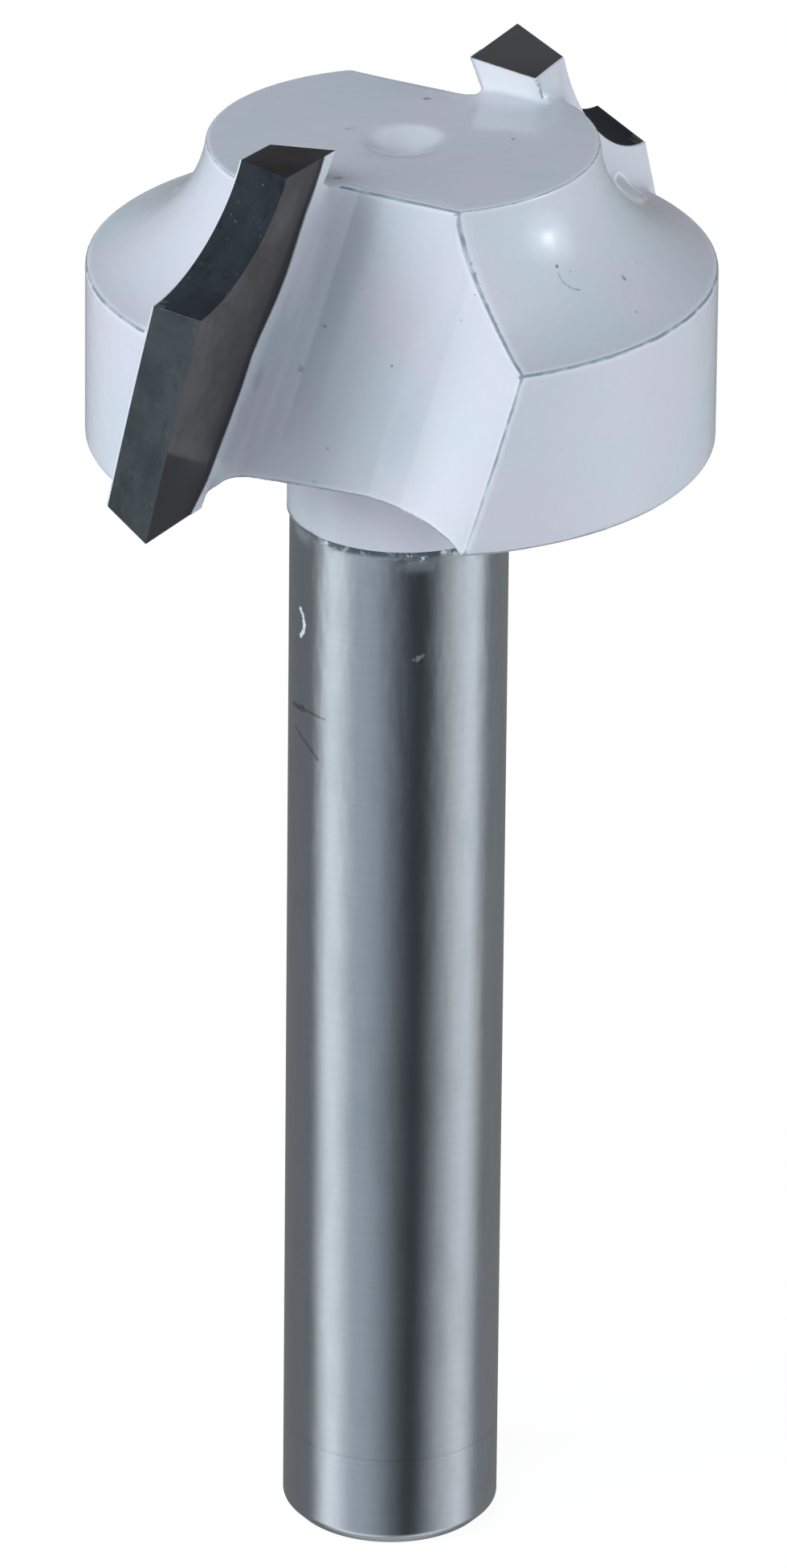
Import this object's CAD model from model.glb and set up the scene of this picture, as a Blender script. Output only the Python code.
from math import atan2, cos, hypot, pi, radians, sin, sqrt, tan

import bpy
import numpy as np
from mathutils import Matrix, Vector


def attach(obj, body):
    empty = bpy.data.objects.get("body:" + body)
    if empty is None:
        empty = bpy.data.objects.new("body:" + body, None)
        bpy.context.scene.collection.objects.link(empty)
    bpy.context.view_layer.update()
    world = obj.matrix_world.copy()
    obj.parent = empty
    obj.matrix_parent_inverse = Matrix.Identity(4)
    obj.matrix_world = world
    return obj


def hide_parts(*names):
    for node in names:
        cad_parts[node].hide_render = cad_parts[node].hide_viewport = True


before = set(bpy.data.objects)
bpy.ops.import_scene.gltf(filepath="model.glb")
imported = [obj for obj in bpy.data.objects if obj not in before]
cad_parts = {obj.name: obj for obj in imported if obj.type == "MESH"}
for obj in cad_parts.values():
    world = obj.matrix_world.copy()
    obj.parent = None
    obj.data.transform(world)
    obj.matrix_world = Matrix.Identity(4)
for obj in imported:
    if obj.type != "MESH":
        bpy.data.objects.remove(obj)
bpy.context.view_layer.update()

# ---------------------------------------------------------------- camera
# A long lens on a tripod, a little above the bit and turned slightly on its side.
# It stands 0.8 m away and looks at the middle of the bit.
pitch, roll, distance = radians(24.676), radians(0.573), 0.8037
pivot = Vector((0, 0, 0.040))                # the point that the tripod is set out from
nod_up, turn_left = 0.004758, 0.000173       # last small turns of the tripod's head, in radians
back = Vector((0, -cos(pitch), sin(pitch)))
level_up = Vector((0, sin(pitch), cos(pitch)))
camera_right = cos(roll) * Vector((1, 0, 0)) + sin(roll) * level_up
camera_up = cos(roll) * level_up - sin(roll) * Vector((1, 0, 0))
sight = (-back + nod_up * camera_up - turn_left * camera_right).normalized()
camera_right = (camera_right - camera_right.dot(sight) * sight).normalized()
camera_up = camera_right.cross(sight)
camera_data = bpy.data.cameras.new("camera")
camera_data.sensor_width = 36.0
camera_data.lens = 334.89
camera = bpy.data.objects.new("camera", camera_data)
bpy.context.scene.collection.objects.link(camera)
axes = Matrix((camera_right, camera_up, -sight)).transposed().to_4x4()
camera.matrix_world = Matrix.Translation(pivot + distance * back) @ axes
bpy.context.scene.camera = camera
bpy.context.scene.view_settings.view_transform = "Standard"


# ---------------------------------------------------------------- studio
# A pale floor and a pale room for the soft light, with a ring of grey and white cards that only
# shiny surfaces see. The floor shows white and keeps a faint shadow of the bit.
ROOM_RADIUS = 0.9                            # metres from the bit to the cards and the lamps
FLOOR_DROP = 0.00004                         # the floor lies this far below the shank's end
FLOOR_WHITE, SHADOW_SHARE = 1.04, 0.1        # brightness, and how much of the shadow shows
BULB_AT = (0.897, -0.078, 0.295)             # bare bulb, a spot of light on the bit's wet-looking paint
TABLE_TOP, TABLE_EDGE, TABLE_GLOW = -1.3, -1.45, 0.28        # bright table below the cards
COOL_CARD, PLAIN_CARD, COOL_WITHIN = (0.91, 1.0, 1.06), (0.97, 1.0, 0.99), 62
GREY_WALL = 0.2
# Degrees to the right from straight behind the camera, and the brightness there: grey wall, far edge
# of the left window, the window, the wall beside it, dark doorway, white wall, its far edge, grey wall.
CARDS = ((-180, GREY_WALL), (-100, GREY_WALL), (-72, 1.1), (-40, 0.5), (22, 0.06), (82, 0.85),
         (112, 0.25), (180, GREY_WALL))
LAMP_SIZE, LAMPS_AIM = 0.45, Vector((0, 0, 0.06))
# Degrees to the right and up, power in watts, and colour.
LAMPS = (("window_left", -65, 8, 5.2, (0.98, 1.0, 1.01)),
         ("window_left_high", -60, 40, 2.9, (0.93, 1.0, 1.07)),
         ("wall_right", 70, 10, 5.0, (0.95, 1.0, 1.02)),
         ("wall_right_far", 105, 10, 1.7, (1.0, 1.0, 1.02)),
         ("wall_back", 180, 30, 1.4, (1.0, 1.0, 0.95)),
         ("wall_back_left", -140, 20, 2.1, (0.95, 1.0, 1.07)),
         ("ceiling", -20, 50, 3.0, (0.92, 1.0, 1.12)))


def put(tree, kind, inputs=None, **settings):
    """Add one node, with its settings and its input values or links."""
    made = tree.nodes.new(kind)
    for key, value in settings.items():
        setattr(made, key, value)
    for key, value in (inputs or {}).items():
        if isinstance(value, bpy.types.NodeSocket):
            tree.links.new(value, made.inputs[key])
        else:
            made.inputs[key].default_value = value
    return made


def value_of(tree, kind, inputs=None, **settings):
    return put(tree, kind, inputs, **settings).outputs[0]


def sums(tree, operation, *values):
    """One value worked out from one, two or three values."""
    return value_of(tree, "ShaderNodeMath", dict(enumerate(values)), operation=operation)


def fade(tree, value, start, end, low=0.0, high=1.0, how="SMOOTHSTEP"):
    """Change from one value to another between two limits."""
    return value_of(tree, "ShaderNodeMapRange", {"Value": value, "From Min": start, "From Max": end,
                                                 "To Min": low, "To Max": high}, interpolation_type=how)


def place_in(tree):
    """Place on the piece in metres, from the material's one coordinate node."""
    made = tree.nodes.get("place") or put(tree, "ShaderNodeTexCoord", name="place")
    return made.outputs["Object"]


def coordinate(tree, axis):
    """Place along one axis, in metres."""
    return put(tree, "ShaderNodeSeparateXYZ", {0: place_in(tree)}).outputs[axis]


def away_from(tree, point, stretch=None):
    """Distance from a point in metres, counted for more or less along each axis."""
    away = value_of(tree, "ShaderNodeVectorMath", {0: place_in(tree), 1: point}, operation="SUBTRACT")
    if stretch:
        away = value_of(tree, "ShaderNodeVectorMath", {0: away, 1: stretch}, operation="MULTIPLY")
    return put(tree, "ShaderNodeVectorMath", {0: away}, operation="LENGTH").outputs["Value"]


def empty_material(name):
    material = bpy.data.materials.new(name)
    material.use_nodes = True
    material.node_tree.nodes.clear()
    return material


def deselect():
    if bpy.context.object and bpy.context.object.mode != "OBJECT":
        bpy.ops.object.mode_set(mode="OBJECT")
    bpy.ops.object.select_all(action="DESELECT")


world = bpy.data.worlds.new("room")
bpy.context.scene.world = world
world.use_nodes = True
tree = world.node_tree
tree.nodes.clear()
light_path = put(tree, "ShaderNodeLightPath")
seen = sums(tree, "MAXIMUM", light_path.outputs["Is Camera Ray"], light_path.outputs["Is Glossy Ray"])
seen = sums(tree, "MAXIMUM", seen, light_path.outputs["Is Transmission Ray"])
room_light = value_of(tree, "ShaderNodeBackground", {"Color": (1, 1, 1, 1), "Strength": 0.0})
room_seen = value_of(tree, "ShaderNodeBackground", {"Color": (1, 1, 1, 1), "Strength": 1.0})
room = value_of(tree, "ShaderNodeMixShader", {0: seen, 1: room_light, 2: room_seen})
put(tree, "ShaderNodeOutputWorld", {"Surface": room})

deselect()
bpy.ops.mesh.primitive_plane_add(size=4.0, location=(0, 0, -FLOOR_DROP))
floor = bpy.context.object
floor.name = "floor"
floor_paint = empty_material("floor_white")
tree = floor_paint.node_tree
lit = value_of(tree, "ShaderNodeBsdfDiffuse", {"Color": (0.9, 0.9, 0.9, 1)})
white = value_of(tree, "ShaderNodeEmission", {"Color": (1, 1, 1, 1), "Strength": FLOOR_WHITE})
looked_at = put(tree, "ShaderNodeLightPath").outputs["Is Camera Ray"]
share = sums(tree, "MULTIPLY", looked_at, 1.0 - SHADOW_SHARE)
floor_look = value_of(tree, "ShaderNodeMixShader", {0: share, 1: lit, 2: white})
put(tree, "ShaderNodeOutputMaterial", {"Surface": floor_look})
floor.data.materials.append(floor_paint)
floor.visible_glossy = False

deselect()
bpy.ops.mesh.primitive_cylinder_add(vertices=96, radius=ROOM_RADIUS, depth=3.0, location=(0, 0, 0))
cards = bpy.context.object
cards.name = "studio_cards"
card_paint = empty_material("card_greys")
tree = card_paint.node_tree
forward = sums(tree, "MULTIPLY", coordinate(tree, "Y"), -1.0)
around = sums(tree, "ARCTAN2", coordinate(tree, "X"), forward)
greys = put(tree, "ShaderNodeValToRGB", {0: fade(tree, around, -pi, pi, how="LINEAR")})
greys.color_ramp.interpolation = "EASE"
stops = greys.color_ramp.elements
while len(stops) > 1:
    stops.remove(stops[-1])
for index, (azimuth, brightness) in enumerate(CARDS):
    stop = stops.new((azimuth + 180) / 360) if index else stops[0]
    stop.position = (azimuth + 180) / 360
    tint = COOL_CARD if abs(azimuth) < COOL_WITHIN else PLAIN_CARD
    stop.color = (*(brightness * part for part in tint), 1)
from_bulb = away_from(tree, BULB_AT)
bulb = fade(tree, from_bulb, 0.09, 0.02, 0.0, 9.0, how="LINEAR")
bulb_glow = fade(tree, from_bulb, 0.34, 0.05, 0.0, 3.0)
table = fade(tree, coordinate(tree, "Z"), TABLE_TOP, TABLE_EDGE, 0.0, TABLE_GLOW, how="LINEAR")
lights = sums(tree, "ADD", sums(tree, "ADD", bulb, bulb_glow), table)
lights_seen = value_of(tree, "ShaderNodeEmission", {"Color": (0.94, 0.98, 1.0, 1), "Strength": lights})
cards_seen = value_of(tree, "ShaderNodeEmission", {"Color": greys.outputs["Color"], "Strength": 1.0})
cards_look = value_of(tree, "ShaderNodeAddShader", {0: lights_seen, 1: cards_seen})
put(tree, "ShaderNodeOutputMaterial", {"Surface": cards_look})
cards.data.materials.append(card_paint)
for way in ("camera", "diffuse", "transmission", "volume_scatter", "shadow"):
    setattr(cards, "visible_" + way, False)

for name, azimuth, height, power, tint in LAMPS:
    lamp_data = bpy.data.lights.new(name, "AREA")
    lamp_data.shape = "SQUARE"
    lamp_data.size = LAMP_SIZE
    lamp_data.energy = power
    lamp_data.color = tint
    lamp = bpy.data.objects.new(name, lamp_data)
    bpy.context.scene.collection.objects.link(lamp)
    azimuth, height = radians(azimuth), radians(height)
    towards = Vector((sin(azimuth) * cos(height), -cos(azimuth) * cos(height), sin(height)))
    lamp.location = LAMPS_AIM + ROOM_RADIUS * towards
    lamp.rotation_euler = (-towards).to_track_quat("-Z", "Y").to_euler()
    lamp.visible_glossy = False


# ---------------------------------------------------------------- coated head
# The turned and milled steel head with both tips already brazed in, dipped in pale plastic paint.
# The paint rounds every edge, fills the roots of the tips and ends in a ragged line on the neck.
MM = 0.001                                   # metres in a millimetre: the bit's sizes are in millimetres
TIP_AZIMUTHS = (240.2, 60.2)                 # a tip is drawn pointing along +X and turned to these
SHEAR_ANGLE = radians(15.0)                  # the nose leads the lower end of each tip
SHEAR, LEAN = tan(SHEAR_ANGLE), cos(SHEAR_ANGLE)
RAKE_OFFSET = 2.2                            # rake face behind the axis, at the shoulder
UNDERSIDE, SHOULDER, TOP, NOSE, TIP_BOTTOM = 65.0, 75.25, 82.35, 84.65, 64.2
HEAD_R, TOP_R, NECK_R, CUT_R, NOSE_R = 17.15, 10.65, 6.15, 19.05, 13.0
COVE_SAG, RIM_CHAMFER, NECK_FILLET, NECK_BOTTOM = 1.55, 0.35, 0.65, 59.8
DISH = ((2.45, 0.0), (2.2, 0.05), (1.6, 0.26), (0.8, 0.52), (0.4, 0.63), (0, 0.67))    # radius, depth
TIP_THICK, TIP_TOP_INSET, TIP_BOTTOM_INSET = 3.7, 7.7, 12.6      # insets: axis to the inner side
GULLET_DEPTH, GULLET_TILT = (8.35, 7.45), (0.9, 0.1)             # at the underside, at the flat top
WALL_RISE, WALL_RUN, WALL_R = (4.6, 2.2), 8.5, 14.0              # the gullet's trailing wall
GULLET_CORNER, GULLET_FLOOR = 1.2, 7.7                           # root radius, width of the floor
GULLET_LEVELS = (62.0, 66.7, 71.4, 76.0, 80.7, 85.35)            # heights that its cutter is drawn at
BEYOND = 22.0                                # a cutter reaches this far from the axis


def rake_y(z):
    """Height-dependent place of the rake face: the tip leans forward towards the nose."""
    return -RAKE_OFFSET + (z - SHOULDER) * SHEAR


def inner_x(z):
    """Inner side of the tip, nearer the axis at the nose."""
    return TIP_TOP_INSET + (NOSE - z) / (NOSE - TIP_BOTTOM) * (TIP_BOTTOM_INSET - TIP_TOP_INSET)


def along_head(low, high, z):
    """Value at height z of a size that changes evenly from the underside to the flat top."""
    return low + (z - UNDERSIDE) / (TOP - UNDERSIDE) * (high - low)


def circle_through(a, b, c):
    """Centre and radius of the circle through three points of a plane."""
    (ax, ay), (bx, by), (cx, cy) = a, b, c
    aa, bb, cc = ax**2 + ay**2, bx**2 + by**2, cx**2 + cy**2
    four_areas = 2 * (ax * (by - cy) + bx * (cy - ay) + cx * (ay - by))
    x = (aa * (by - cy) + bb * (cy - ay) + cc * (ay - by)) / four_areas
    y = (aa * (cx - bx) + bb * (ax - cx) + cc * (bx - ax)) / four_areas
    return x, y, hypot(ax - x, ay - y)


def arc_through(a, b, c, count):
    """Points on the circle through three points of a plane, from a to c."""
    x, y, radius = circle_through(a, b, c)
    start, middle, end = (atan2(q - y, p - x) for p, q in (a, b, c))
    middle = start + (middle - start + pi) % (2 * pi) - pi
    end = middle + (end - middle + pi) % (2 * pi) - pi
    turns = [start + (end - start) * n / count for n in range(count + 1)]
    return [(x + radius * cos(turn), y + radius * sin(turn)) for turn in turns]


def bowed(start, end, sag, count):
    """Arc between two points, whose middle stands off their chord to the left."""
    run, rise = end[0] - start[0], end[1] - start[1]
    chord = hypot(run, rise)
    middle = ((start[0] + end[0]) / 2 - sag * rise / chord, (start[1] + end[1]) / 2 + sag * run / chord)
    return arc_through(start, middle, end, count)


def rounded(start, corner, end):
    """Arc in a square corner, between two points equally far from it."""
    middle = [c + (1 - sqrt(0.5)) * (a + b - 2 * c) for a, b, c in zip(start, end, corner)]
    return arc_through(start, middle, end, 8)


def take(piece):
    """Select one piece by itself."""
    deselect()
    piece.select_set(True)
    bpy.context.view_layer.objects.active = piece


def wired(name, points, edges, azimuth=0):
    """Lay out wires between points in millimetres, and open them in edit mode."""
    placing = Matrix.Rotation(radians(azimuth), 4, "Z") @ Matrix.Scale(MM, 4)
    mesh = bpy.data.meshes.new(name)
    mesh.from_pydata([placing @ Vector(point) for point in points], edges, [])
    made = bpy.data.objects.new(name, mesh)
    bpy.context.scene.collection.objects.link(made)
    take(made)
    bpy.ops.object.mode_set(mode="EDIT")
    bpy.ops.mesh.select_all(action="SELECT")
    return made


def lofted(name, rings, azimuth=0):
    """Closed solid through rings of points in millimetres, turned to its azimuth."""
    count = len(rings[0])
    edges = [(first + n, first + (n + 1) % count)
             for first in range(0, count * len(rings), count) for n in range(count)]
    made = wired(name, [point for ring in rings for point in ring], edges, azimuth)
    bpy.ops.mesh.bridge_edge_loops()
    bpy.ops.mesh.select_all(action="SELECT")
    bpy.ops.mesh.fill_holes(sides=0)
    bpy.ops.mesh.select_all(action="SELECT")
    bpy.ops.mesh.quads_convert_to_tris()
    bpy.ops.mesh.normals_make_consistent(inside=False)
    bpy.ops.object.mode_set(mode="OBJECT")
    return made


def spun(name, outline, steps):
    """Solid of revolution about Z from an outline of (radius, height) in millimetres."""
    edges = [(n, n + 1) for n in range(len(outline) - 1)]
    made = wired(name, [(radius, 0, z) for radius, z in outline], edges)
    bpy.ops.mesh.spin(steps=steps, angle=2 * pi, center=(0, 0, 0), axis=(0, 0, 1))
    bpy.ops.mesh.select_all(action="SELECT")
    bpy.ops.mesh.remove_doubles(threshold=0.002 * MM)
    bpy.ops.mesh.normals_make_consistent(inside=False)
    bpy.ops.object.mode_set(mode="OBJECT")
    return made


def modified(piece, kind, **settings):
    """Give the piece one modifier and apply it."""
    take(piece)
    bpy.ops.object.modifier_add(type=kind)
    modifier = piece.modifiers[-1]
    for key, value in settings.items():
        setattr(modifier, key, value)
    bpy.ops.object.modifier_apply(modifier=modifier.name)


def cut_away(piece, cutter):
    modified(piece, "BOOLEAN", operation="DIFFERENCE", solver="MANIFOLD", object=cutter)
    bpy.data.objects.remove(cutter)


cove = bowed((HEAD_R, SHOULDER), (TOP_R, TOP), COVE_SAG, 40)
neck = rounded((NECK_R, UNDERSIDE - NECK_FILLET), (NECK_R, UNDERSIDE), (NECK_R + NECK_FILLET, UNDERSIDE))
coat = spun("coated_head", [(0, NECK_BOTTOM), (NECK_R, NECK_BOTTOM), *neck,
                            (HEAD_R - RIM_CHAMFER, UNDERSIDE), (HEAD_R, UNDERSIDE + RIM_CHAMFER),
                            *cove, *((radius, TOP - depth) for radius, depth in DISH)], steps=240)


def gullet_ring(z):
    """Outline of the chip space in front of the +X tip, at one height."""
    y = rake_y(z)
    floor_x, rise = along_head(*GULLET_DEPTH, z), along_head(*WALL_RISE, z)
    root_x = floor_x + along_head(*GULLET_TILT, z)
    corner = rounded((root_x + GULLET_CORNER, y), (root_x, y), (root_x, y + GULLET_CORNER))
    foot, head = (floor_x, y + GULLET_FLOOR), (floor_x + rise, y + GULLET_FLOOR + WALL_RUN)
    sag = WALL_R - sqrt(WALL_R**2 - (rise**2 + WALL_RUN**2) / 4)
    outline = [(BEYOND, y), *corner, *bowed(foot, head, sag, 24), (BEYOND, head[1] + BEYOND - head[0])]
    return [(*point, z) for point in outline]


for azimuth in TIP_AZIMUTHS:
    cut_away(coat, lofted("gullet", [gullet_ring(z) for z in GULLET_LEVELS], azimuth))

# Both tips go in as slabs as thick as the tip and its paint, and a remesh makes one skin of it all.
PAINT_FRONT, PAINT_BACK, PAINT_INNER = 0.06, 0.11, 0.12      # paint on three sides of a tip
SLAB_BOTTOM, SLAB_TOP, SLAB_END = 62.8, 86.0, 20.4           # heights, and the outer end
DRAFT_VOXEL, FINE_VOXEL = 0.2, 0.13
VOXEL = FINE_VOXEL
slabs = []
for azimuth in TIP_AZIMUTHS:
    side = ((inner_x(SLAB_BOTTOM) - PAINT_INNER, SLAB_BOTTOM), (SLAB_END, SLAB_BOTTOM),
            (SLAB_END, SLAB_TOP), (inner_x(SLAB_TOP) - PAINT_INNER, SLAB_TOP))
    rings = [[(x, rake_y(z) - behind / LEAN, z) for x, z in side]
             for behind in (-PAINT_FRONT, TIP_THICK + PAINT_BACK)]
    slabs.append(lofted("tip_slab", rings, azimuth))
take(coat)
for slab in slabs:
    slab.select_set(True)
bpy.ops.object.join()
modified(coat, "REMESH", mode="VOXEL", voxel_size=VOXEL * MM)
modified(coat, "SMOOTH", factor=0.5, iterations=3)


def tip_frame(points, azimuth):
    """Coordinates in the design position of one tip, which points along +X."""
    turn = radians(azimuth)
    return (points[:, 0] * cos(turn) + points[:, 1] * sin(turn),
            points[:, 1] * cos(turn) - points[:, 0] * sin(turn), points[:, 2])


def read_places(piece):
    flat = np.empty(len(piece.data.vertices) * 3, np.float32)
    piece.data.vertices.foreach_get("co", flat)
    return flat.reshape(-1, 3).astype(float) / MM


def write_places(piece, points):
    piece.data.vertices.foreach_set("co", (points * MM).astype(np.float32).ravel())
    piece.data.update()


# Wet paint fills the roots of the tips: step by step, each hollow near a tip is pulled outwards.
ROOT_REACH, FRONT_CUT = 1.8, 2.5             # the pull ends this far from a tip, and nearer in front
ROOTS_FROM = 5.0                             # it starts this far from the axis
PULL_STEPS, PULL = 90, 0.5
NORMALS_EVERY = 20                           # steps between two looks at which way the paint faces
place = read_places(coat)
near_tip = np.zeros(len(place))
for azimuth in TIP_AZIMUTHS:
    x, y, z = tip_frame(place, azimuth)
    depth = (rake_y(z) - y) * LEAN
    outside = np.maximum.reduce([depth - TIP_THICK, -depth * FRONT_CUT, inner_x(z) - x])
    near_tip = np.maximum(near_tip, np.clip(ROOT_REACH - outside, 0, 1) * (x > ROOTS_FROM))
pairs = np.empty(len(coat.data.edges) * 2, np.int32)
coat.data.edges.foreach_get("vertices", pairs)
pairs = pairs.reshape(-1, 2)
pairs = pairs[(near_tip[pairs] > 0).any(1)]
used, ends = np.unique(pairs, return_inverse=True)
first, second = ends.reshape(-1, 2).T
size = len(used)
degree = np.bincount(first, minlength=size) + np.bincount(second, minlength=size)
moving, weight = place[used], near_tip[used]
normals = np.empty(len(place) * 3, np.float32)
for step in range(int(PULL_STEPS * (DRAFT_VOXEL / VOXEL) ** 2)):
    if step % NORMALS_EVERY == 0:
        place[used] = moving
        write_places(coat, place)
        coat.data.vertex_normals.foreach_get("vector", normals)
        out = normals.reshape(-1, 3)[used].astype(float)
    neighbours = [np.bincount(first, part[second], size) + np.bincount(second, part[first], size)
                  for part in moving.T]
    hollow = ((np.stack(neighbours, 1) / degree[:, None] - moving) * out).sum(1)
    moving += PULL * (np.clip(hollow, 0, None) * weight)[:, None] * out
place[used] = moving
write_places(coat, place)
modified(coat, "SMOOTH", factor=0.5, iterations=2)
COAT_FACES = 92000                           # enough for the cuts' edges once the skin is thinned
modified(coat, "DECIMATE", ratio=min(1, COAT_FACES / len(coat.data.polygons)))

# Grinding bares the tips: their sides all over, and the rake face up to a wandering edge of paint.
PROFILE_R = 6.5                              # concave radius that the edge cuts
PROFILE_HUB = NOSE_R + PROFILE_R             # axis to the middle of that radius
NOSE_RELIEF, COVE_RELIEF, SHOULDER_RELIEF, HEEL_RELIEF = 1.4, 1.25, 1.1, 0.6
TOP_RELIEF, SHOULDER_FALL, BOTTOM_RELIEF, TIP_TOP_FALL = 0.45, 0.65, 0.6, 0.2
DEPTHS = (0.0, 0.2, 0.4, 0.6, 0.8, 1.0)      # shares of the tip's thickness that its sides pass through
GRIND_CLEAR = 0.02                           # bare carbide stands this proud of the cut paint
GRIND_BOTTOM, GRIND_TOP, GRIND_INNER, GRIND_OVERRUN = 61.5, 87.5, 2.0, 1.4
GRIND_DEPTHS = (-0.12, *DEPTHS[1:-1], 1.1)   # from before the rake face to behind the tip
RAKE_CUT = 1.5                               # the rake face is bared from this far in front of it
# Place along the tip and height of the paint's edge on the rake face, from the nose down.
BARE_EDGE = ((8.9, 85.5), (8.98, 83.6), (9.15, 82.4), (9.4, 81.2), (9.6, 79.0), (9.75, 77.6),
             (10.1, 76.3), (10.45, 75.4), (10.95, 74.3), (11.3, 73.2), (11.5, 71.3), (11.85, 69.6),
             (12.3, 67.7), (12.7, 66.0), (13.3, 64.9), (14.1, 63.5))
BARE_BEYOND = 21.0                           # the bared space outside that edge ends here


def out_to(radius, z, behind):
    """Place along the tip where a turned radius meets the plane this far behind the rake face."""
    return sqrt(radius**2 - (rake_y(z) - behind / LEAN) ** 2)


def ground_outline(share, inset):
    """Ground outline of a tip at a share of its depth: inner top, nose, shoulder, heel, inner end."""
    rings = []
    for relief in (0.0, 1.0):
        behind = relief * TIP_THICK
        top, bottom = NOSE - relief * TOP_RELIEF, TIP_BOTTOM + relief * BOTTOM_RELIEF
        shoulder_z = NOSE - sqrt(PROFILE_R**2 - (PROFILE_HUB - CUT_R) ** 2) - relief * SHOULDER_FALL
        shoulder_r, heel_r = CUT_R - relief * SHOULDER_RELIEF, CUT_R - relief * HEEL_RELIEF
        diagonal = (PROFILE_R + relief * COVE_RELIEF) * cos(radians(45))
        turned = ((NOSE_R - relief * NOSE_RELIEF, top), (PROFILE_HUB - diagonal, NOSE - diagonal),
                  (shoulder_r, shoulder_z), ((shoulder_r + heel_r) / 2, (shoulder_z + bottom) / 2),
                  (heel_r, bottom))
        nose, middle, shoulder, flank, heel = ((out_to(radius, z, behind), z) for radius, z in turned)
        slant = inset * sqrt(0.5)
        inner_top = top - TIP_TOP_FALL
        points = [(inner_x(inner_top), inner_top - inset), (nose[0] - inset, top - inset)]
        points += [(x - slant, z - slant) for x, z in arc_through(nose, middle, shoulder, 24)[1:-1]]
        points += [(x - inset, z) for x, z in arc_through(shoulder, flank, heel, 8)[:-1]]
        points += [(heel[0] - inset, bottom + inset), (inner_x(bottom), bottom + inset)]
        rings.append([Vector((x, rake_y(z) - behind / LEAN, z)) for x, z in points])
    return [front.lerp(rear, share) for front, rear in zip(*rings)]


def ground_away(share):
    """Everything outside that outline, on the sides where the tip is ground."""
    ring = ground_outline(share, GRIND_CLEAR)
    ring[0] = ring[1] + (ring[0] - ring[1]) * GRIND_OVERRUN
    ring[-1].x -= GRIND_INNER
    round_the_tip = ((ring[-1].x, GRIND_BOTTOM), (BEYOND, GRIND_BOTTOM),
                     (BEYOND, GRIND_TOP), (ring[0].x, GRIND_TOP))
    return ring + [Vector((x, rake_y(z) - share * TIP_THICK / LEAN, z)) for x, z in round_the_tip]


def bare_ring(behind):
    """Edge of the bare rake face, and the space outside it."""
    edge = (*BARE_EDGE, (BARE_BEYOND, BARE_EDGE[-1][1]), (BARE_BEYOND, BARE_EDGE[0][1]))
    return [(x, rake_y(z) - behind / LEAN, z) for x, z in edge]


for azimuth in TIP_AZIMUTHS:
    cut_away(coat, lofted("grinding", [ground_away(share) for share in GRIND_DEPTHS], azimuth))
    cut_away(coat, lofted("bare_rake", [bare_ring(GRIND_CLEAR), bare_ring(-RAKE_CUT)], azimuth))

# The paint's lower edge wanders up and down on the neck, in a sum of waves round the shank.
EDGE_HEIGHT, EDGE_WANDER, EDGE_CUT_R, EDGE_CUT_BOTTOM = 60.8, 0.3, 9.0, 58.0
rng = np.random.default_rng(7)
angles = np.linspace(0, 2 * pi, 721)[:-1]
ragged = EDGE_HEIGHT + sum(
    rng.uniform(0.3, 1.0) * EDGE_WANDER / n**0.8 * np.sin(n * angles + rng.uniform(0, 6.3))
    for n in (1, 2, 3, 5, 8, 13, 21, 34, 55, 89))
edge_rings = [[(EDGE_CUT_R * cos(angle), EDGE_CUT_R * sin(angle), z) for angle, z in zip(angles, heights)]
              for heights in (np.full(len(angles), EDGE_CUT_BOTTOM), ragged)]
cut_away(coat, lofted("neck_cut", edge_rings))


def paint_edge(place):
    """Height of the paint's ragged edge on each point's side of the neck."""
    return np.interp(np.arctan2(place[:, 1], place[:, 0]), angles, ragged, period=2 * pi)


def give_values(piece, name, values):
    layer = piece.data.attributes.new(name, "FLOAT", "POINT")
    layer.data.foreach_set("value", values.astype(np.float32))


def off_line(points, line):
    """Distance from each point of a plane to the nearest stretch of a broken line."""
    start, run = line[:-1], np.diff(line, axis=0)
    along = np.clip(((points[:, None] - start) * run).sum(2) / (run**2).sum(1), 0, 1)
    return np.linalg.norm(points[:, None] - start - along[..., None] * run, axis=2).min(1)


# Distances in millimetres from the turned faces, their edges, the gullets and the tips. The paint's
# material reads them, because the paint thins to a dark line on each edge and pools beside the tips.
FAR = 9.0                                    # out of reach of a face
MARGIN = 0.5                                 # a face is looked for this far past its end
UNDERSIDE_FROM = 6.5                         # and the flat underside is looked for from this radius
place = read_places(coat)
radius, height = np.hypot(place[:, 0], place[:, 1]), place[:, 2]
hub_r, hub_z, cove_r = circle_through(*cove[::20])
off_cove = np.abs(np.hypot(radius - hub_r, height - hub_z) - cove_r)
off_cove = np.where(radius < TOP_R, np.hypot(radius - TOP_R, height - TOP), off_cove)
off_cove = np.where(height < SHOULDER, np.hypot(radius - HEAD_R, height - SHOULDER), off_cove)
off_top, off_rim, off_under = np.abs(height - TOP), np.abs(radius - HEAD_R), np.abs(height - UNDERSIDE)
faces = np.stack([np.where(radius < TOP_R + MARGIN, off_top, FAR), off_cove,
                  np.where(height < SHOULDER + MARGIN, off_rim, FAR),
                  np.where(radius > UNDERSIDE_FROM, off_under, FAR)])
off_neck = np.where(height < UNDERSIDE + MARGIN, np.abs(radius - NECK_R), FAR)
off_blank = np.minimum(faces.min(0), off_neck)
top_edge, shoulder_edge, lower_edge = (
    np.abs(off_top - off_cove), np.abs(off_rim - off_cove), np.abs(off_under - off_rim))
edges = np.stack([top_edge, np.minimum(top_edge, shoulder_edge),
                  np.minimum(shoulder_edge, lower_edge), lower_edge])
nearest = faces.argmin(0)
ring_side = edges[nearest, np.arange(len(place))] * np.where(nearest % 2, 1.0, -1.0)

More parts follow.
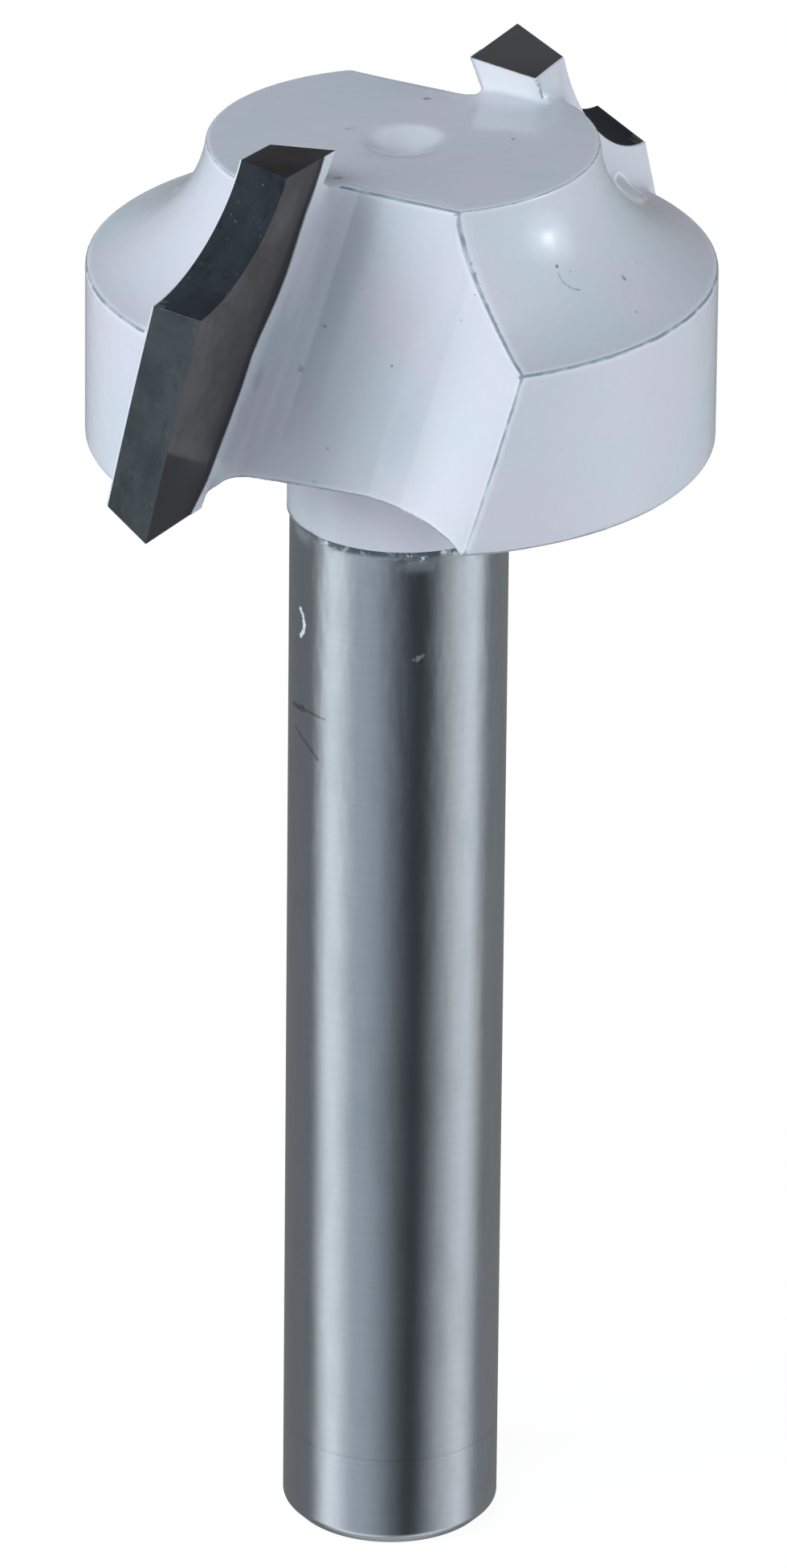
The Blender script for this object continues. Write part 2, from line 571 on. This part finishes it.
OWN_SIDE, WALL_FROM = 4.0, 5.0               # where a tip's own half of the head and its gullet start
WALL_FRONT, WALL_BELOW_TOP = 0.45, 3.0       # where the paint on a tip's inner side starts and ends
LEVEL_STEP = 0.25                            # height for which one outline of the gullet serves
OFF_WALLS = 30.0                             # stands for no gullet wall, past every streak
levels = np.arange(GULLET_LEVELS[0], GULLET_LEVELS[-1] + LEVEL_STEP, LEVEL_STEP)
off_gullet, off_tip, inner_wall = (np.full(len(place), FAR) for _ in range(3))
across_gullet = np.full(len(place), OFF_WALLS)
for azimuth in TIP_AZIMUTHS:
    x, y, z = tip_frame(place, azimuth)
    ahead = y - rake_y(z)
    depth = -ahead * LEAN
    shelf = np.clip(((z - levels[0]) / LEVEL_STEP).round().astype(int), 0, len(levels) - 1)
    off_wall = np.full(len(place), FAR)
    for n, level in enumerate(levels):
        here = np.flatnonzero(shelf == n)
        outline = np.array([point[:2] for point in gullet_ring(level)[:-1]])
        outline[:, 1] -= rake_y(level)
        off_wall[here] = off_line(np.stack([x[here], ahead[here]], 1), outline)
    off_gullet = np.minimum(off_gullet, np.where(x > OWN_SIDE, off_wall, FAR))
    off_paint = np.maximum.reduce(
        [depth - TIP_THICK - PAINT_BACK, -depth - PAINT_FRONT, inner_x(z) - PAINT_INNER - x])
    off_tip = np.minimum(off_tip, np.where(x > OWN_SIDE, off_paint, FAR))
    off_side = np.maximum.reduce(
        [np.abs(x - inner_x(z) + PAINT_INNER), WALL_FRONT - depth, depth - TIP_THICK - PAINT_BACK])
    by_tip_top = (x > OWN_SIDE) & (z > TOP - WALL_BELOW_TOP)
    inner_wall = np.minimum(inner_wall, np.where(by_tip_top, off_side, FAR))
    root_x = along_head(*GULLET_DEPTH, z) + along_head(*GULLET_TILT, z) + (1 - sqrt(0.5)) * GULLET_CORNER
    across = ahead - np.clip(x - root_x, 0, None)
    across_gullet = np.where((off_wall < MARGIN) & (x > WALL_FROM), across, across_gullet)
EDGE_REACH = 63.5                            # the paint's lower edge matters up to this height
above_edge = np.where(height < EDGE_REACH, height - paint_edge(place), FAR)
for name, values in (("ring_side", ring_side), ("wall_side", off_blank - off_gullet),
                     ("off_blank", off_blank), ("off_faces", np.minimum(off_blank, off_gullet)),
                     ("off_tip", off_tip), ("inner_wall", inner_wall),
                     ("across_gullet", across_gullet), ("above_edge", above_edge)):
    give_values(coat, name, values)


def measured(tree, name):
    """One of the distances given to the piece's points."""
    return put(tree, "ShaderNodeAttribute", attribute_name=name).outputs["Fac"]


def noise(tree, scale, detail=2.0, roughness=0.5, stretch=None):
    """Cloudy pattern, drawn out along an axis whose stretch is small."""
    place = place_in(tree)
    if stretch:
        place = value_of(tree, "ShaderNodeVectorMath", {0: place, 1: stretch}, operation="MULTIPLY")
    return value_of(tree, "ShaderNodeTexNoise", {"Vector": place, "Scale": scale, "Detail": detail,
                                                 "Roughness": roughness})


def uneven(tree, value, pattern, amount):
    """A value that wanders to both sides with a pattern."""
    return sums(tree, "ADD", value, sums(tree, "MULTIPLY", sums(tree, "SUBTRACT", pattern, 0.5), amount))


def band(tree, value, comes, goes, strength):
    """Share that comes in between one pair of limits and goes out between another."""
    return sums(tree, "MULTIPLY", fade(tree, value, *comes), fade(tree, value, *goes, 0.0, strength))


def tinted(tree, colour, tint, *shares):
    """A tint laid over a colour, as strong as all its shares multiplied."""
    share = shares[0]
    for other in shares[1:]:
        share = sums(tree, "MULTIPLY", share, other)
    mixed = put(tree, "ShaderNodeMix", {0: share}, data_type="RGBA")
    for socket, layer in ((mixed.inputs[6], colour), (mixed.inputs[7], tint)):
        if isinstance(layer, bpy.types.NodeSocket):
            tree.links.new(layer, socket)
        else:
            socket.default_value = (*layer, 1)
    return mixed.outputs[2]


def off_point(tree, x, y, z, stretch=None):
    """Distance from a point of the bit, all in millimetres."""
    return sums(tree, "MULTIPLY", away_from(tree, (x * MM, y * MM, z * MM), stretch), 1 / MM)


def marks(tree, dots, grain):
    """Small ragged dots at places on the surface, each with a radius and a strength."""
    warp = fade(tree, noise(tree, grain), 0.3, 0.7, 0.75, 1.3)
    found = 0.0
    for x, y, z, radius, strength in dots:
        away = sums(tree, "MULTIPLY", off_point(tree, x, y, z), warp)
        found = sums(tree, "MAXIMUM", found, fade(tree, away, radius * 1.15, radius * 0.6, 0.0, strength))
    return found


def scratch(points, radius, strength, spacing=1.0):
    """Row of dots along a broken line on the surface, one spacing of radii apart."""
    row = []
    for start, end in zip(points, points[1:]):
        start, end = Vector(start), Vector(end)
        count = max(1, int((end - start).length / (radius * spacing)))
        row += [(*start.lerp(end, n / count), radius, strength) for n in range(count + 1)]
    return row


PAINT_GREY, PAINT_LILAC, PAINT_SHADE = (0.492, 0.538, 0.588), (0.535, 0.528, 0.592), (0.36, 0.40, 0.46)
THICK_PAINT, THIN_PAINT, THIN_FLANK = (0.66, 0.70, 0.76), (0.30, 0.33, 0.37), (0.66, 0.68, 0.72)
POOLED_PAINT, PALEST_PAINT = (0.76, 0.80, 0.83), (0.80, 0.83, 0.84)
EDGE_DARK, EDGE_PALE = (0.15, 0.205, 0.24), (0.66, 0.71, 0.76)
DISH_PALE, DISH_DARK, SMUDGE = (0.72, 0.76, 0.80), (0.30, 0.33, 0.38), (0.24, 0.28, 0.30)
PINHOLE, SCRAPED = (0.13, 0.15, 0.18), (0.14, 0.18, 0.21)
# Pinholes and specks in the paint, a hair caught on the cove, and the crack beside the rear tip:
# places in millimetres, and for a pinhole its radius and strength.
PINHOLES = (
    (8.29, -8.74, 78.65, 0.11, 0.95), (11.93, -6.38, 77.02, 0.13, 0.7), (11.82, -6.25, 77.12, 0.07, 0.6),
    (12.59, -8.48, 75.94, 0.08, 0.6), (5.91, 0.23, 82.35, 0.13, 0.75), (1.22, 5.95, 82.35, 0.22, 0.65),
    (1.40, 5.98, 82.35, 0.15, 0.5), (-3.0, 1.44, 82.35, 0.2, 0.28), (-2.8, 1.6, 82.35, 0.15, 0.25),
    (-2.09, -7.93, 76.91, 0.08, 0.35), (-4.12, -7.12, 74.36, 0.12, 0.7), (-4.25, -7.05, 74.42, 0.08, 0.5),
    (-0.48, -8.93, 72.86, 0.11, 0.75), (3.19, -11.06, 76.44, 0.08, 0.5), (3.91, -11.39, 78.03, 0.08, 0.35),
    (9.03, -8.44, 78.23, 0.06, 0.6), (12.61, -4.5, 77.14, 0.07, 0.4), (11.9, -7.63, 76.55, 0.06, 0.35),
    (-5.37, -6.76, 71.7, 0.22, 0.35), (-3.92, -7.63, 67.45, 0.09, 0.45), (-3.44, -5.63, 82.36, 0.25, 0.45),
    (-4.6, -7.41, 65.39, 0.12, 0.3), (3.70, -10.85, 79.62, 0.12, 0.45), (3.93, -11.05, 79.12, 0.10, 0.45))
HAIR = ((8.36, -8.98, 78.32), (8.53, -9.16, 78.03), (8.71, -9.21, 77.85), (9.03, -9.2, 77.61),
        (9.24, -9.14, 77.5), (9.51, -9.01, 77.4))
CRACK, CRACK_END = ((7.2, 5.03, 83.85), (7.41, 5.03, 83.27)), ((7.41, 5.03, 83.27), (7.52, 4.98, 82.92))


def washed(tree):
    """The paint's own colour, with the streaks that it runs into in the gullets and beside the tips."""
    across, off_blank = measured(tree, "across_gullet"), measured(tree, "off_blank")
    high = fade(tree, coordinate(tree, "Z"), 66.0 * MM, 70.5 * MM)
    patches, fine = noise(tree, 170.0, 3.0, 0.55), noise(tree, 2600.0, 3.0, 0.6)
    colour = tinted(tree, PAINT_GREY, PAINT_LILAC, fade(tree, patches, 0.36, 0.66))
    colour = tinted(tree, colour, PAINT_SHADE, fade(tree, fine, 0.35, 0.7, 0.0, 0.06))
    colour = tinted(tree, colour, THICK_PAINT, band(tree, across, (0.2, 0.9), (2.05, 1.85), 0.20), high)
    colour = tinted(tree, colour, THIN_PAINT, band(tree, across, (1.85, 2.15), (4.0, 2.9), 0.32), high)
    colour = tinted(tree, colour, THIN_FLANK, band(tree, across, (9.7, 10.1), (18.0, 14.0), 0.25))
    inner_wall = fade(tree, measured(tree, "inner_wall"), 0.35, 0.12, 0.0, 0.75)
    colour = tinted(tree, colour, PALEST_PAINT, inner_wall, fade(tree, off_blank, 0.05, 0.6))
    beside_tip = fade(tree, measured(tree, "off_tip"), 0.5, 0.12)
    return tinted(tree, colour, POOLED_PAINT, beside_tip, fade(tree, off_blank, 0.3, 0.8, 0.0, 0.12))


def edged(tree, colour, breaks):
    """A broken dark line along each edge, where wet paint draws back, with paler paint beside it."""
    height = coordinate(tree, "Z")
    lines = []
    for side, away in (("ring_side", "off_blank"), ("wall_side", "off_faces")):
        line = sums(tree, "ABSOLUTE", uneven(tree, measured(tree, side), breaks, 0.15))
        lines.append(sums(tree, "ADD", line, fade(tree, measured(tree, away), 0.25, 0.5)))
    rings, walls = lines
    rings = sums(tree, "ADD", rings, fade(tree, height, 81.6 * MM, 82.2 * MM, 0.0, 0.075))
    off_tip = fade(tree, measured(tree, "off_tip"), 0.75, 0.35)
    off_edge = sums(tree, "ADD", sums(tree, "MINIMUM", rings, walls), off_tip)
    colour = tinted(tree, colour, EDGE_PALE, band(tree, off_edge, (0.10, 0.16), (0.42, 0.2), 0.30))
    fainter_low = fade(tree, height, 65.5 * MM, 72.0 * MM, 0.4, 1.0)
    lower_rim = fade(tree, height, 65.7 * MM, 65.2 * MM)
    broken = fade(tree, breaks, 0.28, 0.58, 0.25, 0.88)
    return tinted(tree, colour, EDGE_DARK, fade(tree, off_edge, 0.14, 0.065), broken,
                  sums(tree, "MAXIMUM", fainter_low, lower_rim))


def blotted(tree, colour, breaks):
    """The marks of dipping: light in the dish, a drip behind a tip, a smudge, pinholes, a scraped end."""
    dish_light = off_point(tree, 0.25, 0.75, 82.1, (0.8, 1.05, 0.3))
    colour = tinted(tree, colour, DISH_PALE, fade(tree, dish_light, 1.75, 1.25, 0.0, 0.42))
    dish_shade = off_point(tree, -0.4, -2.1, 82.3, (0.5, 1.3, 1.0))
    colour = tinted(tree, colour, DISH_DARK, fade(tree, dish_shade, 1.4, 0.5, 0.0, 0.20))
    drip = uneven(tree, off_point(tree, 12.45, 8.1, 76.3, (1.0, 0.9, 1.0)), breaks, 0.9)
    colour = tinted(tree, colour, THIN_PAINT, fade(tree, drip, 1.0, 0.9, 0.0, 0.42))
    colour = tinted(tree, colour, POOLED_PAINT, band(tree, drip, (0.88, 0.98), (1.16, 1.02), 0.65))
    smudge = uneven(tree, off_point(tree, -7.68, -6.92, 71.15, (1.0, 1.0, 0.7)), breaks, 0.8)
    colour = tinted(tree, colour, SMUDGE, fade(tree, smudge, 0.7, 0.1, 0.0, 0.34))
    dots = (*PINHOLES, *scratch(HAIR, radius=0.06, strength=0.7, spacing=1.75),
            *scratch(CRACK, radius=0.13, strength=0.62, spacing=0.9),
            *scratch(CRACK_END, radius=0.11, strength=0.62))
    colour = tinted(tree, colour, PINHOLE, marks(tree, dots, grain=4200.0))
    scraped = uneven(tree, measured(tree, "above_edge"), breaks, 0.25)
    return tinted(tree, colour, SCRAPED, fade(tree, scraped, 0.16, 0.05, 0.0, 0.8))


paint = empty_material("dip_paint")
tree = paint.node_tree
breaks = noise(tree, 700.0, 2.0, 0.6)
colour = blotted(tree, edged(tree, washed(tree), breaks), breaks)
ripples = sums(tree, "MULTIPLY", noise(tree, 1500.0, 1.0), 0.08)
swell = sums(tree, "ADD", noise(tree, 330.0), ripples)
relief = value_of(tree, "ShaderNodeBump", {"Height": swell, "Strength": 0.25, "Distance": 0.25 * MM})
surface = value_of(tree, "ShaderNodeBsdfPrincipled", {
    "Base Color": colour, "Roughness": 0.14, "Specular IOR Level": 0.5, "Normal": relief})
put(tree, "ShaderNodeOutputMaterial", {"Surface": surface})
coat.data.materials.clear()
coat.data.materials.append(paint)
take(coat)
bpy.ops.object.shade_smooth_by_angle(angle=radians(40))
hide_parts("steel_body")
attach(coat, "root")


# ---------------------------------------------------------------- ground shank
# Round bar of hardened steel, one piece with the head, ground between centres and chamfered at
# its end. It stays bare below the paint, which leaves a crust and a thin film under its edge.
SHANK_R, SHANK_CHAMFER, SHANK_TOP, CHAMFER_ROUND = 6.0, 0.75, 62.0, 0.18
RING_HEIGHT = 5.5                            # a faint ring runs round the shank near its end
STEEL, STEEL_WARM = (0.560, 0.605, 0.668), (0.578, 0.622, 0.685)
BLOTCH, SMEAR, RING_MARK = (0.42, 0.48, 0.51), (0.44, 0.49, 0.56), (0.20, 0.24, 0.26)
PALE_MARK, DARK_MARK = (0.95, 0.97, 1.0), (0.16, 0.19, 0.21)
FILM, CRUST, CRUST_SHADOW = (0.27, 0.32, 0.35), (0.55, 0.61, 0.64), (0.035, 0.05, 0.06)
# Marks on the shank: places in millimetres, and for a dot its radius and strength.
PAINT_STROKE = ((-5.33, -2.75, 55.85), (-5.2, -3.0, 55.5), (-5.13, -3.11, 55.1), (-5.16, -3.06, 54.7),
                (-5.3, -2.81, 54.3))
PALE_DOTS = ((1.1, -5.9, 54.4, 0.20, 0.18), (1.35, -5.85, 54.52, 0.14, 0.14),
             (0.85, -5.94, 54.3, 0.12, 0.12))
DEEP_NICK = ((-5.69, -1.9, 49.85), (-5.13, -3.11, 50.07))
NICK_TAIL = ((-5.13, -3.11, 50.07), (-4.6, -3.85, 50.08), (-4.0, -4.47, 50.06))
LONG_SCRATCH = ((-5.55, -2.29, 48.58), (-5.05, -3.24, 48.21), (-4.7, -3.73, 47.87), (-4.34, -4.15, 47.5))
DARK_DOT = (1.22, -5.87, 54.2, 0.12, 0.4)

shank = spun("ground_shank", [(0, 0), (SHANK_R - SHANK_CHAMFER, 0), (SHANK_R, SHANK_CHAMFER),
                              (SHANK_R, SHANK_TOP), (0, SHANK_TOP)], steps=192)
modified(shank, "BEVEL", width=CHAMFER_ROUND * MM, segments=3, limit_method="ANGLE",
         angle_limit=radians(20))
place = read_places(shank)
give_values(shank, "below_paint", paint_edge(place) - place[:, 2])

steel = empty_material("ground_steel")
tree = steel.node_tree
grain = noise(tree, 100.0, 3.0, 0.6, (1.0, 1.0, 60.0))
blotches = noise(tree, 420.0, 3.0, 0.6, (1.0, 1.0, 0.35))
smears = noise(tree, 380.0, 3.0, 0.6, (1.0, 1.0, 0.06))
colour = tinted(tree, STEEL, STEEL_WARM, fade(tree, grain, 0.35, 0.65))
colour = tinted(tree, colour, BLOTCH, fade(tree, blotches, 0.47, 0.68, 0.0, 0.32))
colour = tinted(tree, colour, SMEAR, fade(tree, smears, 0.42, 0.66, 0.0, 0.30))
pale = marks(tree, (*scratch(PAINT_STROKE, radius=0.16, strength=0.68), *PALE_DOTS), grain=3000.0)
colour = tinted(tree, colour, PALE_MARK, pale)
dark = marks(tree, (*scratch(DEEP_NICK, radius=0.19, strength=0.7),
                    *scratch(NICK_TAIL, radius=0.09, strength=0.6),
                    *scratch(LONG_SCRATCH, radius=0.12, strength=0.55), DARK_DOT), grain=3000.0)
colour = tinted(tree, colour, DARK_MARK, dark)
height = coordinate(tree, "Z")
off_ring = sums(tree, "ABSOLUTE", sums(tree, "SUBTRACT", height, RING_HEIGHT * MM))
colour = tinted(tree, colour, RING_MARK, fade(tree, off_ring, 0.13 * MM, 0.02 * MM, 0.0, 0.13))
below, crumbs = measured(tree, "below_paint"), noise(tree, 1500.0, 3.0, 0.65)
film_patches = fade(tree, noise(tree, 520.0, 3.0, 0.6), 0.40, 0.58)
film = sums(tree, "MULTIPLY", fade(tree, below, 1.25, 0.35), film_patches)
crust = sums(tree, "MULTIPLY", fade(tree, below, 0.55, 0.15), fade(tree, crumbs, 0.60, 0.66))
shadow = sums(tree, "MULTIPLY", fade(tree, below, 0.40, 0.12), fade(tree, crumbs, 0.60, 0.48))
colour = tinted(tree, colour, FILM, film, 0.55)
colour = tinted(tree, colour, CRUST, crust, 0.85)
colour = tinted(tree, colour, CRUST_SHADOW, shadow, 0.9)
dull = sums(tree, "MAXIMUM", sums(tree, "MULTIPLY", film, 0.35), sums(tree, "MAXIMUM", crust, shadow))
dull = sums(tree, "MAXIMUM", dull, pale)
metal = sums(tree, "SUBTRACT", 1.0, sums(tree, "MULTIPLY", dull, 0.9))
waves = noise(tree, 300.0, 3.0, 0.55, (1.0, 1.0, 0.35))
wavier_up = fade(tree, height, 25.0 * MM, 58.0 * MM, 0.25, 1.0)
relief = value_of(tree, "ShaderNodeBump", {"Height": waves, "Strength": wavier_up, "Distance": 0.09 * MM})
around_axis = value_of(tree, "ShaderNodeTangent", direction_type="RADIAL", axis="Z")
surface = value_of(tree, "ShaderNodeBsdfPrincipled", {
    "Base Color": colour, "Metallic": metal, "Roughness": 0.2, "Normal": relief,
    "Anisotropic": 0.8, "Anisotropic Rotation": 0.25, "Tangent": around_axis})
put(tree, "ShaderNodeOutputMaterial", {"Surface": surface})
shank.data.materials.append(steel)
take(shank)
bpy.ops.object.shade_smooth_by_angle(angle=radians(30))
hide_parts("steel_body")
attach(shank, "root")


# ---------------------------------------------------------------- carbide tips
# Sintered tungsten carbide, pressed and fired, then brazed into the seats of the steel head. Every
# cutting surface is ground bare afterwards, and the paint stops at the edge of the grinding.
TIP_ROUND = 0.03                             # the ground edges are rounded off by this much
RAKE_GREY, RAKE_BROWN, RAKE_PIT = (0.070, 0.067, 0.070), (0.044, 0.039, 0.039), (0.14, 0.13, 0.13)
RELIEF_GREY, RELIEF_DARK, RELIEF_PIT = (0.037, 0.045, 0.050), (0.021, 0.027, 0.031), (0.085, 0.10, 0.11)
COVE_GREY, COVE_DARK, COVE_PIT = (0.021, 0.026, 0.032), (0.013, 0.016, 0.020), (0.13, 0.15, 0.16)
TOP_GREY, TOP_DARK, TOP_PIT = (0.014, 0.013, 0.015), (0.007, 0.006, 0.007), (0.04, 0.04, 0.04)
REAR_COVE, REAR_TOP = (0.010, 0.012, 0.015), (0.052, 0.050, 0.051)       # the same faces, on the rear tip
HEEL_BAND, HEEL_DARK = (0.092, 0.086, 0.088), (0.022, 0.020, 0.024)
ROOT_BROWN, ROOT_DARK = (0.036, 0.029, 0.028), (0.014, 0.012, 0.013)
REAR_FROM = 8.0 * MM                         # the rear tip's colours are reached this far behind the axis
HEEL_X, HEEL_Z, HEEL_SLOPE = 13.56, 67.3, 0.52       # upper edge of the dark patch on the heel


def carbide_face(name, light, dark, pit, pits_from, stretch):
    """Ground carbide: two tones in soft patches, fine grinding lines, stains and a few pale pits."""
    face = empty_material(name)
    tree = face.node_tree
    patches, lines = noise(tree, 300.0, 4.0, 0.65), noise(tree, 160.0, 3.0, 0.6, stretch)
    stains, pits = noise(tree, 900.0, 3.0, 0.6), noise(tree, 2300.0)
    colour = tinted(tree, light, dark, fade(tree, patches, 0.35, 0.68))
    colour = tinted(tree, colour, dark, fade(tree, lines, 0.48, 0.72, 0.0, 0.35))
    stain = tuple(0.45 * part for part in dark)
    colour = tinted(tree, colour, stain, fade(tree, stains, 0.60, 0.72, 0.0, 0.45))
    return face, tinted(tree, colour, pit, fade(tree, pits, pits_from, pits_from + 0.07, 0.0, 0.55))


def finish_face(face, colour, roughness, specular):
    surface = value_of(face.node_tree, "ShaderNodeBsdfPrincipled", {
        "Base Color": colour, "Metallic": 0.0, "Roughness": roughness, "Specular IOR Level": specular})
    put(face.node_tree, "ShaderNodeOutputMaterial", {"Surface": surface})


# Stretches of the pattern of grinding lines that run round the tip, to its back, and up its face.
LINES_ROUND, LINES_BACK, LINES_UP = (1.0, 1.0, 14.0), (14.0, 1.0, 1.0), (5.0, 5.0, 1.0)
relief_face, colour = carbide_face(
    "ground_relief", RELIEF_GREY, RELIEF_DARK, RELIEF_PIT, 0.69, LINES_ROUND)
finish_face(relief_face, colour, 0.45, 0.35)

cove_face, colour = carbide_face("ground_cove", COVE_GREY, COVE_DARK, COVE_PIT, 0.68, LINES_ROUND)
tree = cove_face.node_tree
rear = fade(tree, coordinate(tree, "Y"), 0.0, REAR_FROM, 0.0, 0.75)
finish_face(cove_face, tinted(tree, colour, REAR_COVE, rear), 0.6, 0.1)

top_face, colour = carbide_face("ground_top", TOP_GREY, TOP_DARK, TOP_PIT, 0.72, LINES_BACK)
tree = top_face.node_tree
rear = fade(tree, coordinate(tree, "Y"), 0.0, REAR_FROM)
finish_face(top_face, tinted(tree, colour, REAR_TOP, rear), 0.45, 0.25)

rake_face, colour = carbide_face("ground_rake", RAKE_GREY, RAKE_BROWN, RAKE_PIT, 0.71, LINES_UP)
tree = rake_face.node_tree
above_heel, off_paint = measured(tree, "above_heel"), measured(tree, "off_paint")
colour = tinted(tree, colour, ROOT_BROWN, fade(tree, off_paint, 2.6, 0.9, 0.0, 0.6))
colour = tinted(tree, colour, HEEL_BAND, band(tree, above_heel, (0.0, 0.25), (1.6, 0.5), 0.5))
colour = tinted(tree, colour, HEEL_DARK, fade(tree, above_heel, 0.15, -0.15, 0.0, 0.9))
colour = tinted(tree, colour, ROOT_DARK, fade(tree, off_paint, 0.62, 0.18, 0.0, 0.85))
finish_face(rake_face, colour, 0.5, 0.25)

FACES = (rake_face, cove_face, relief_face, top_face)
TOP_FACE_DROP, COVE_FACE_RISE, COVE_FACE_FROM = 0.7, 2.4, 9.0    # from the nose, shoulder and axis
FORWARD, LEVEL = 0.8, 0.85                   # how squarely a rake face looks forward, and a top face up
bare_edge = np.array(BARE_EDGE)
for number, azimuth in enumerate(TIP_AZIMUTHS, 1):
    tip = lofted("ground_tip_%d" % number, [ground_outline(share, 0) for share in DEPTHS], azimuth)
    modified(tip, "BEVEL", width=TIP_ROUND * MM, segments=2, limit_method="ANGLE",
             angle_limit=radians(25))
    for face in FACES:
        tip.data.materials.append(face)
    turn = radians(azimuth)
    rake_way = Vector((-sin(turn), cos(turn), -SHEAR)) * LEAN
    for polygon in tip.data.polygons:
        middle = polygon.center / MM
        out = middle.x * cos(turn) + middle.y * sin(turn)
        if polygon.normal.dot(rake_way) > FORWARD:
            face = rake_face
        elif polygon.normal.z > LEVEL and middle.z > NOSE - TOP_FACE_DROP:
            face = top_face
        elif middle.z > SHOULDER + COVE_FACE_RISE and out > COVE_FACE_FROM:
            face = cove_face
        else:
            face = relief_face
        polygon.material_index = FACES.index(face)
    x, y, z = tip_frame(read_places(tip), azimuth)
    give_values(tip, "above_heel", z - HEEL_Z - (x - HEEL_X) * HEEL_SLOPE)
    give_values(tip, "off_paint", x - np.interp(-z, -bare_edge[:, 1], bare_edge[:, 0]))
    take(tip)
    bpy.ops.object.shade_smooth_by_angle(angle=radians(30))
    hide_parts("carbide_tip_%d" % number)
    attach(tip, "root")
